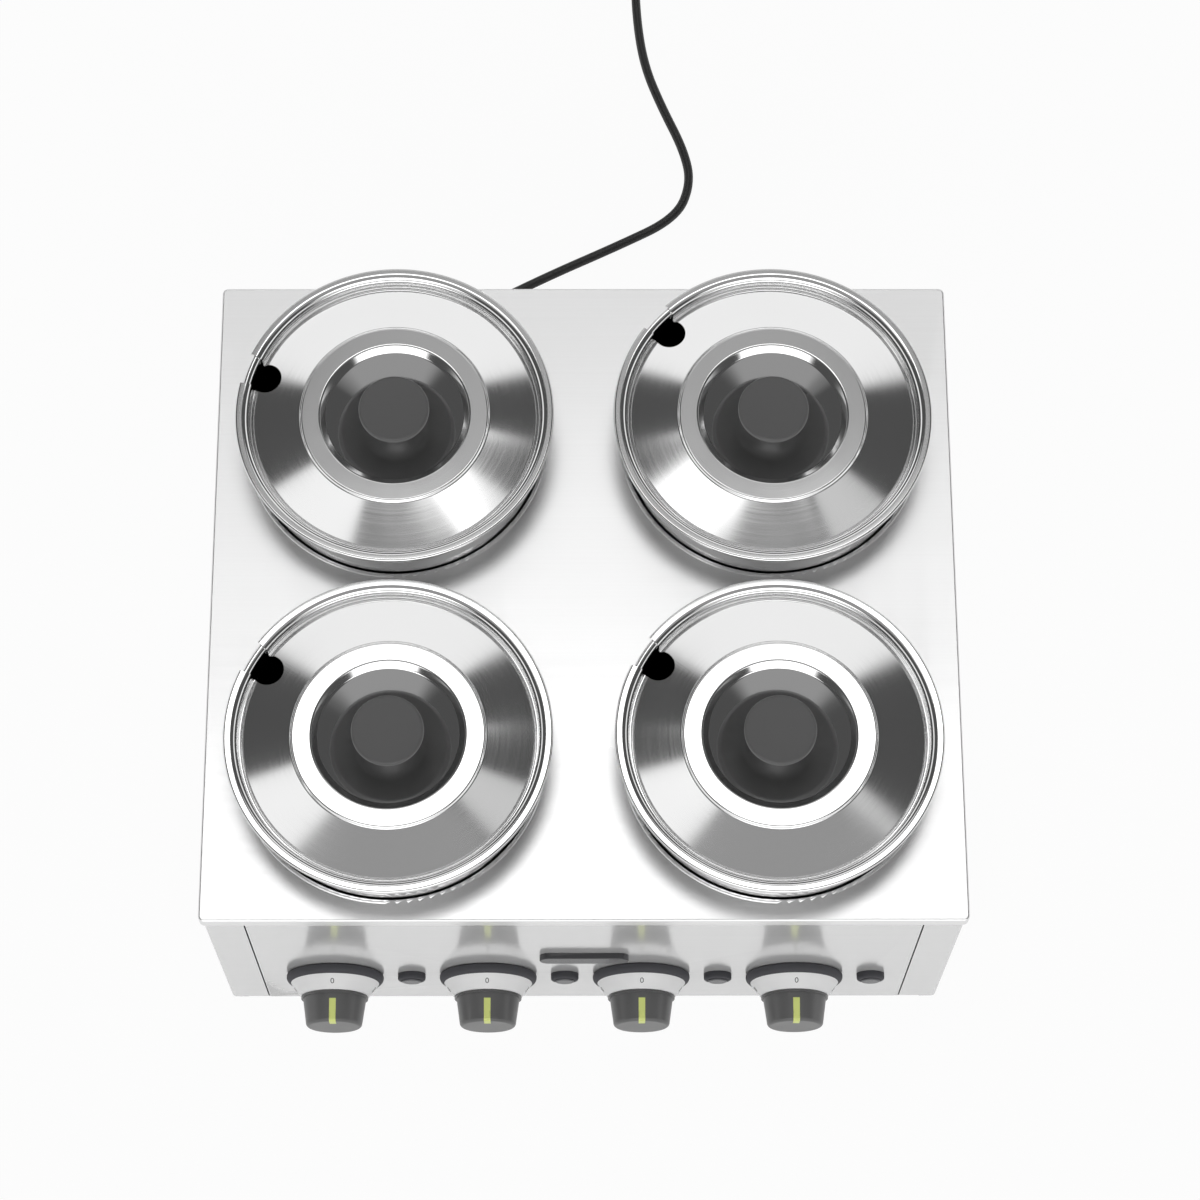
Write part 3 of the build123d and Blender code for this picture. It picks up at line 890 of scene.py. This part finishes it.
@dataclass
class SupplyCord:
    """The supply cord behind the case: its route on the floor, its tied coil and its plug."""

    diameter: float = 7.0
    coil_radius: float = 42.6
    coil_half_turns: int = 6
    climb_turn: int = 2
    coil_pitch: float = 7.6
    tail_run: float = 26.0
    plug_radius: float = 18.5
    steps: int = 6
    tie_half: float = 6.0
    tie_sheet: float = 0.9

    def route(self) -> list[Vector]:
        """The route's points from the gland's mouth to the coil, in millimetres."""
        r = self.diameter / 2
        middle = middle_of("cable_gland") / MM
        mouth = Vector((middle.x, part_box("cable_gland")[1].y / MM, 0))
        points = [
            (0, 0, middle.z),
            (0, 32, middle.z),
            (9, 58, 27),
            (37, 70, 8),
            (70, 70.5, r),
            (124, 99.5, r),
            (174, 123.5, r),
            (222, 148.5, r),
            (234, 179, r),
            (228.5, 208, r),
            (212, 245, r),
            (199, 280, r),
            (193, 318, r),
            (191, 366, r),
            (191, 420, r),
        ]
        return [mouth + Vector(point) for point in points]

    def turns(self, start: Vector) -> list[Vector]:
        """The coil's points after its start, and its tail up to the plug.

        Args:
            start: where the coil starts, heading to the rear.

        Returns:
            The points, in millimetres.
        """
        points = []
        radius, here = self.coil_radius, start
        for turn in range(self.coil_half_turns):
            way = 1 if turn % 2 == 0 else -1
            rise = self.coil_pitch if turn == self.climb_turn else 0.0
            centre = here + Vector((-way * radius, 0, 0))
            reach = radius / math.cos(math.pi / self.steps / 2)
            for i in range(self.steps):
                angle = math.pi * (i + 0.5) / self.steps
                offset = Vector((way * math.cos(angle), way * math.sin(angle), 0)) * reach
                climb = rise * (1 - math.cos(angle)) / 2
                points.append(centre + offset + Vector((0, 0, climb)))
            here = here + Vector((-2 * way * radius, 0, rise))
            radius += self.coil_pitch / 2 if turn >= self.climb_turn else -self.coil_pitch / 2
        lift = self.plug_radius - here.z
        points.append(here + Vector((0, self.tail_run, 0)))
        points.append(here + Vector((0, 2 * self.tail_run, lift)))
        points.append(here + Vector((0, 3 * self.tail_run, lift)))
        return points

    def build(self) -> None:
        route = self.route()
        points = route + self.turns(route[-1])
        points = [point * MM for point in points]
        curve = bpy.data.curves.new("supply_cord", "CURVE")
        curve.dimensions = "3D"
        curve.bevel_depth = self.diameter / 2 * MM
        curve.bevel_resolution = 5
        curve.resolution_u = 10
        curve.use_fill_caps = True
        spline = curve.splines.new("NURBS")
        spline.points.add(len(points) - 1)
        for knot, point in zip(spline.points, points):
            knot.co = (*point, 1.0)
        spline.order_u = 3
        spline.use_endpoint_u = True
        cord = bpy.data.objects.new("supply_cord", curve)
        bpy.context.scene.collection.objects.link(cord)
        curve.materials.append(CORD.material())
        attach(cord, "case")
        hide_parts("power_cord", "cord_coil")
        plug = dress(soften(smooth_copy("plug", "plug_moulded")), DARK, "case", ["plug"])
        gland = dress(soften(smooth_copy("cable_gland", "gland_moulded")), DARK, "case", ["cable_gland"])
        self.build_tie(route[-1])

    def build_tie(self, start: Vector) -> bpy.types.Object:
        """Make the strap that holds the coil's turns together.

        Args:
            start: where the coil starts, in millimetres.

        Returns:
            The strap, a closed band about the turns on the coil's near side.
        """
        half, sheet, r = self.tie_half, self.tie_sheet, self.diameter / 2
        inner = self.coil_radius - self.coil_pitch / 2
        near, far = start.y - inner - self.coil_pitch - r - sheet, start.y - inner + r + sheet
        top, seam = self.diameter + self.coil_pitch + sheet, (near + far) / 2
        corners = [(seam, 0), (far, 0), (far, top), (near, top), (near, 0), (seam, 0)]
        outer = rounded(corners, [r, r, r, r])
        corners = [(seam, sheet), (far - sheet, sheet), (far - sheet, top - sheet)]
        corners += [(near + sheet, top - sheet), (near + sheet, sheet), (seam, sheet)]
        inside = rounded(corners, [r - sheet] * 4)
        build = bmesh.new()
        middle = start.x - self.coil_radius
        rings = [
            [build.verts.new(Vector((middle + side * half, y, z)) * MM) for y, z in line[:-1]]
            for side, line in ((-1, outer), (1, outer), (1, inside), (-1, inside))
        ]
        for ring, other in zip(rings, rings[1:] + rings[:1]):
            for i in range(len(ring)):
                j = (i + 1) % len(ring)
                build.faces.new((ring[i], ring[j], other[j], other[i]))
        bmesh.ops.recalc_face_normals(build, faces=build.faces)
        return dress(soften(finish_mesh("cord_tie", build)), STRAP, "case")


@dataclass(frozen=True)
class Pots:
    """Four straight-sided pots with flared, hemmed rims."""

    radius: float = 100.0
    height: float = 155.0
    sheet: float = 0.8
    rim_width: float = 5.0
    rim_hem: float = 3.8
    hem_corner: float = 2.0
    rim_roll: float = 3.9
    floor_corner: float = 8.0

    def build(self) -> None:
        """Lathe each pot about its own middle."""
        inner = self.radius - self.sheet
        line = [
            (self.radius + self.rim_width, -self.rim_hem),
            (self.radius + self.rim_width, 0),
            (inner, 0),
            (inner, self.sheet - self.height),
            (0, self.sheet - self.height),
        ]
        outline = sheet_wall(line, [self.hem_corner, self.rim_roll, self.floor_corner], self.sheet)
        for name in POTS:
            node = f"pot_{name}"
            middle = middle_of(node)
            top = (middle.x, middle.y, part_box(node)[1].z)
            piece = lathe(f"{node}_spun", mm(outline), top)
            finish = SpunSteel(f"pot_steel_{name}", "polished_steel", grey(0.82), tuple(middle), 0.12)
            dress(soften(piece), finish, node, [node])


@dataclass(frozen=True)
class Lids:
    """Four pressed lids: hemmed rim, groove, cone, flat ring, dish and ladle notch."""

    radius: float = 107.0
    sheet: float = 0.8
    hem: float = 2.6
    hem_corner: float = 1.6
    roll: float = 5.0
    wall_radius: float = 98.1
    groove_depth: float = 11.0
    groove_width: float = 1.8
    groove_corner: float = 0.9
    cone_start_inset: float = 3.1
    cone_start_drop: float = 8.8
    cone_end_radius: float = 64.0
    cone_end_drop: float = 3.6
    ring_radius: float = 62.5
    ring_drop: float = 1.95
    dish_radius: float = 50.5
    dish_edge_drop: float = 1.9
    dish_wall_run: float = 4.4
    dish_wall_drop: float = 5.7
    dish_flat_radius: float = 16.0
    dish_drop: float = 19.0
    dish_bend: float = 26.0
    screw_bore: float = 2.6
    notch_radius: float = 10.5
    notch_reach: float = 92.0
    notch_neck: float = 8.5
    notch_mouth: float = 13.6
    notch_angles: tuple[float, float, float, float] = (150.0, 148.0, 162.0, 138.0)

    def build(self) -> None:
        """Lathe each lid, cut its notch and its screw's hole, and dress its screw."""
        for name, angle in zip(POTS, self.notch_angles):
            node = f"lid_{name}"
            middle = middle_of(f"pot_{name}")
            rim = (middle.x, middle.y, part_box(node)[1].z)
            piece = lathe(f"{node}_pressed", mm(self.outline()), rim, sides=256)
            cut(piece, self.notch(rim, angle))
            finish = SpunSteel(f"lid_steel_{name}", "polished_steel", grey(0.84), tuple(middle), 0.09)
            dress(soften(piece), finish, node, [node])
            dress_node(f"lid_screw_{name}", SCREW)

    def outline(self) -> list[Point]:
        """The pressed sheet's outline, in millimetres."""
        line = [
            (self.radius, -self.hem),
            (self.radius, 0),
            (self.wall_radius, 0),
            (self.wall_radius, -self.groove_depth),
            (self.wall_radius - self.groove_width, -self.groove_depth),
            (self.wall_radius - self.cone_start_inset, -self.cone_start_drop),
            (self.cone_end_radius, -self.cone_end_drop),
            (self.ring_radius, -self.ring_drop),
            (self.dish_radius, -self.dish_edge_drop),
            (self.dish_radius - self.dish_wall_run, -self.dish_wall_drop),
            (self.dish_flat_radius, -self.dish_drop),
            (self.screw_bore, -self.dish_drop),
        ]
        soft = 2 * self.sheet
        radii = [self.hem_corner, self.roll, self.groove_corner, self.groove_corner]
        radii += [soft, soft, soft, 1.5 * soft, 3 * soft, self.dish_bend]
        return sheet_wall(line, radii, self.sheet)

    def notch(self, rim: Sequence[float], angle: float) -> bpy.types.Object:
        """The space of the ladle notch: a round hole that opens out through the rim.

        Args:
            rim: the middle of the lid's rim, in the frame.
            angle: the notch's bearing, in degrees from +X.

        Returns:
            A closed prism.
        """
        length = self.notch_radius + self.radius - self.notch_reach
        slope = (self.notch_mouth - self.notch_neck) / length
        a, b, c = 1 + slope**2, 2 * slope * self.notch_neck, self.notch_neck**2 - self.notch_radius**2
        run = (math.sqrt(b * b - 4 * a * c) - b) / (2 * a)
        start = math.atan2(self.notch_neck + slope * run, run)
        steps = 40
        plan = []
        for i in range(steps + 1):
            turn = start + (2 * math.pi - 2 * start) * i / steps
            ahead, aside = self.notch_radius * math.cos(turn), self.notch_radius * math.sin(turn)
            plan.append((self.notch_reach + ahead, aside))
        beyond = self.radius + self.notch_radius
        plan += [(beyond, -self.notch_mouth), (beyond, self.notch_mouth)]
        place = Matrix.Translation(Vector(rim)) @ Matrix.Rotation(math.radians(angle), 4, "Z")
        build = bmesh.new()
        depth = 2 * self.groove_depth
        base = [build.verts.new(place @ (Vector((x, y, -depth)) * MM)) for x, y in plan]
        bottom = build.faces.new(base)
        top = bmesh.ops.extrude_face_region(build, geom=[bottom])
        lift = place.to_3x3() @ Vector((0, 0, 2 * depth * MM))
        raised = [item for item in top["geom"] if isinstance(item, bmesh.types.BMVert)]
        bmesh.ops.translate(build, vec=lift, verts=raised)
        bmesh.ops.recalc_face_normals(build, faces=build.faces)
        return finish_mesh("notch_space", build)


@dataclass(frozen=True)
class LidKnobs:
    """Four moulded knobs, each a dimpled disc on a waisted stem."""

    radius: float = 23.6
    stem: float = 11.5
    waist: float = 10.5
    above_rim: float = 7.4
    dimple: float = 0.8
    edge: float = 1.6
    thickness: float = 4.5
    bore: float = 2.6
    bore_depth: float = 12.0
    dish_drop: float = 19.0

    def build(self) -> None:
        """Lathe each knob above the middle of its lid's dish."""
        top = self.above_rim
        line = [
            (self.bore, -self.dish_drop),
            (self.stem, -self.dish_drop),
            (self.waist, -self.dish_drop / 2),
            (self.radius, top - self.thickness),
            (self.radius, top),
            (0, top - self.dimple),
        ]
        outline = rounded(line, [0, self.dish_drop / 2, self.edge, self.edge])
        outline += [(0, self.bore_depth - self.dish_drop), (self.bore, self.bore_depth - self.dish_drop)]
        for name in POTS:
            node = f"lid_knob_{name}"
            middle = middle_of(node)
            rim = (middle.x, middle.y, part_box(node)[1].z - top * MM)
            piece = lathe(f"{node}_moulded", mm(outline), rim)
            dress(soften(piece), LID_KNOB, f"lid_{name}", [node])


@dataclass(frozen=True)
class Controls:
    """Four knobs on their dials; the lamp to the right of each is dressed with the case."""

    bezel_radius: float = 33.3
    bezel_thickness: float = 6.5
    bezel_edge: float = 4.0
    bezel_back: float = 2.2
    seat_radius: float = 26.0
    dial_outer: float = 30.1
    dial_inner: float = 23.2
    dial_bore: float = 16.0
    dial_thickness: float = 9.4
    knob_gap: float = 0.3
    skirt_radius: float = 22.9
    skirt: float = 1.4
    base_radius: float = 21.6
    front_radius: float = 18.9
    reach: float = 37.0
    knob_edge: float = 2.6
    spindle_bore: float = 3.0
    spindle_in_knob: float = 17.5
    pointer_width: float = 4.5
    pointer_depth: float = 9.0
    pointer_start: float = 4.0
    numeral_height: float = 4.0
    numeral_thickness: float = 0.04
    font_per_numeral: float = 1.4

    def build(self) -> None:
        """Make the rows, then each knob."""
        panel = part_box("front_panel")[0].y
        first = middle_of("control_knob_1")
        second = middle_of("control_knob_2")
        step = (second.x - first.x, 0.0, 0.0)
        start = (first.x, panel, first.z)
        for number in KNOBS:
            self.build_knob(number, (middle_of(f"control_knob_{number}").x, panel, first.z))
        bezel = rounded(
            [
                (self.seat_radius, 0),
                (self.bezel_radius, 0),
                (self.bezel_radius, self.bezel_thickness),
                (self.seat_radius, self.bezel_thickness),
            ],
            [self.bezel_back, self.bezel_edge],
        )
        self.build_row("bezel_rings", "bezel_rings_turned", bezel, start, step, DARK)
        front = self.bezel_thickness + self.dial_thickness
        dial = [
            (self.dial_bore, 0),
            (self.seat_radius, 0),
            (self.seat_radius, self.bezel_thickness),
            (self.dial_outer, self.bezel_thickness),
            (self.dial_inner, front),
            (self.dial_bore, front),
        ]
        self.build_row("dial_rings", "dial_rings_turned", dial, start, step, WHITE)
        self.build_numerals(start, step)

    def build_numerals(self, start: Sequence[float], step: Sequence[float]) -> None:
        """Print the scale on the first dial's cone and repeat it along the panel.

        Args:
            start: the middle of the first dial on the panel.
            step: the way from one dial to the next.
        """
        depth, shrink = self.dial_thickness, self.dial_outer - self.dial_inner
        slope = math.hypot(depth, shrink)
        build = bmesh.new()
        for quarter, label in enumerate(("0", "30", "60", "90")):
            font = bpy.data.curves.new("numeral", "FONT")
            font.body = label
            font.size = self.numeral_height * self.font_per_numeral
            font.align_x, font.align_y = "CENTER", "CENTER"
            font.extrude = self.numeral_thickness
            words = bpy.data.objects.new("numeral", font)
            mesh = bpy.data.meshes.new_from_object(words)
            first = len(build.verts)
            build.from_mesh(mesh)
            build.verts.ensure_lookup_table()
            for vert in build.verts[first:]:
                along, lift = 0.5 - vert.co.y / slope, vert.co.z
                radius = self.dial_outer - shrink * along + lift * depth / slope
                out = self.bezel_thickness + depth * along + lift * shrink / slope
                angle = math.pi / 2 * quarter + vert.co.x / radius
                place = Vector((radius * math.sin(angle), -out, radius * math.cos(angle)))
                vert.co = Vector(start) + place * MM
            bpy.data.objects.remove(words)
            bpy.data.meshes.remove(mesh)
            bpy.data.curves.remove(font)
        bmesh.ops.remove_doubles(build, verts=build.verts, dist=TINY)
        bmesh.ops.recalc_face_normals(build, faces=build.faces)
        piece = finish_mesh("dial_numerals", build)
        Pattern(count=len(KNOBS), step=tuple(step)).apply(piece, PRINT)
        dress(piece, PRINT, "case")

    def build_row(
        self,
        node: str,
        name: str,
        outline: Sequence[Point],
        start: Sequence[float],
        step: Sequence[float],
        finish: Finish,
    ) -> None:
        """Lathe the first of a row and repeat it along the panel.

        Args:
            node: the CAD node that the row stands for.
            name: the row's name.
            outline: the turned outline, in millimetres.
            start: the middle of the first one on the panel.
            step: the way from one to the next.
            finish: the row's finish.
        """
        piece = lathe(name, mm(outline), start, Axis.FRONT, 96)
        soften(piece)
        Pattern(count=len(KNOBS), step=tuple(step)).apply(piece, finish)
        dress(piece, finish, "case", [node])

    def build_knob(self, number: int, start: Sequence[float]) -> None:
        """Lathe a knob, cut its pointer's slot, and dress its pointer and spindle.

        Args:
            number: the knob's number from the left.
            start: the middle of the knob's axis on the panel.
        """
        node = f"control_knob_{number}"
        body = f"knob_{number}"
        rear = self.bezel_thickness + self.dial_thickness + self.knob_gap
        neck = rear + self.skirt
        bore_end = rear + self.spindle_in_knob
        line = [
            (self.spindle_bore, rear),
            (self.skirt_radius, rear),
            (self.skirt_radius, neck),
            (self.base_radius, neck),
            (self.front_radius, self.reach),
            (0, self.reach),
        ]
        outline = rounded(line, [0, 0, 0, self.knob_edge])
        outline += [(0, bore_end), (self.spindle_bore, bore_end)]
        piece = lathe(f"{node}_moulded", mm(outline), start, Axis.FRONT)
        low = self.front_radius - self.pointer_depth
        slot = bmesh.new()
        bmesh.ops.create_cube(slot, size=1.0)
        back = neck + self.pointer_start
        front = self.reach + self.knob_gap
        size = Vector((self.pointer_width, front - back, self.skirt_radius - low)) * MM
        middle = Vector((0, -(front + back) / 2, (self.skirt_radius + low) / 2)) * MM
        for vert in slot.verts:
            vert.co = Vector(start) + middle + vert.co * size
        cut(piece, finish_mesh("pointer_space", slot))
        dress(soften(piece), KNOB, body, [node])
        pointer = f"knob_pointer_{number}"
        dress(soften(smooth_copy(pointer, f"{pointer}_moulded")), LIME, body, [pointer])
        dress_node(f"knob_spindle_{number}", SCREW)


@dataclass(frozen=True)
class Housing:
    """The sheet-metal case and what is fixed in it."""

    def build(self) -> None:
        """Dress the sheets as smooth copies, and the inner parts as they are."""
        for node, finish in (
            ("top_plate", PLATE),
            ("case_shell", CASE),
            ("front_panel", CASE),
            ("base_plate", CASE),
            ("feet", RUBBER),
            ("badge", BADGE),
            ("lamp_bezels", DARK),
            ("lamp_lenses", LENS),
        ):
            dress(soften(smooth_copy(node, f"{node}_finished")), finish, "case", [node])
        for node, finish in (
            ("base_screws", SCREW),
            ("foot_screws", SCREW),
            ("foot_nuts", SCREW),
            ("heaters", HEATER),
            ("heater_nuts", SCREW),
            ("capillaries", COPPER),
            ("thermostats", INNER),
            ("thermostat_nuts", SCREW),
            ("terminal_block", INNER),
            ("gland_nut", DARK),
        ):
            dress_node(node, finish)
        for name in POTS:
            dress_node(f"well_{name}", WELL)


def main() -> None:
    """Build the scene in order and report each piece."""
    Lens().build()
    Studio().build()
    SupplyCord().build()
    Housing().build()
    Pots().build()
    Lids().build()
    LidKnobs().build()
    Controls().build()


if __name__ == "__main__":
    main()
